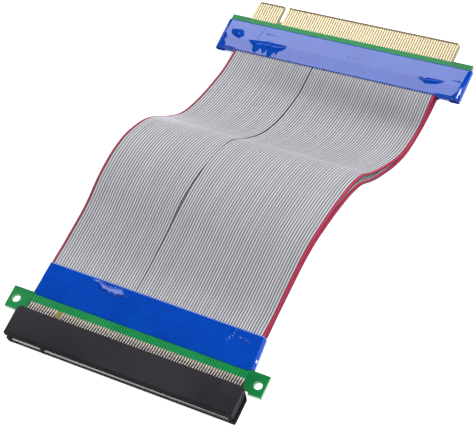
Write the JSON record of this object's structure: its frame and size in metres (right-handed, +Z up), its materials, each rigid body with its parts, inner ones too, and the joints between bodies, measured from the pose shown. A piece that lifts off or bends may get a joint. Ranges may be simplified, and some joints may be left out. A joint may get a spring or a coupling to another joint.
{
  "type": "gpu riser cable",
  "caption": "Flat layered ribbon riser cable with a keyed card slot on a small board at one end and a matching card edge board at the other, bent in a low arch.",
  "frame": {"origin": "middle of the underside of the part's box, on the surface that it lies on", "axes": "+X along the slot from its short end, +Y from the slot towards the edge board, +Z up"},
  "size_m": [0.1238, 0.161, 0.0256],
  "materials": {
    "housing_plastic": "smooth moulded",
    "board_mask": "semi-gloss solder mask",
    "tinned_contact": "bright tin",
    "gold_contact": "satin gold plate",
    "blue_tape": "glossy film",
    "cable_jacket": "ribbed, soft sheen"
  },
  "bodies": {
    "root": {"edge_board": "board_mask", "edge_tape": "blue_tape", "lower_edge_solder_row": "tinned_contact", "lower_long_contacts": "tinned_contact", "lower_long_fingers": "gold_contact", "lower_narrow_ribbon": "cable_jacket", "lower_short_contacts": "tinned_contact", "lower_short_fingers": "gold_contact", "lower_slot_solder_row": "tinned_contact", "lower_wide_ribbon": "cable_jacket", "slot_board": "board_mask", "slot_housing": "housing_plastic", "slot_tape": "blue_tape", "upper_edge_solder_row": "tinned_contact", "upper_long_contacts": "tinned_contact", "upper_long_fingers": "gold_contact", "upper_narrow_ribbon": "cable_jacket", "upper_short_contacts": "tinned_contact", "upper_short_fingers": "gold_contact", "upper_slot_solder_row": "tinned_contact", "upper_wide_ribbon": "cable_jacket"}
  },
  "joints": []
}
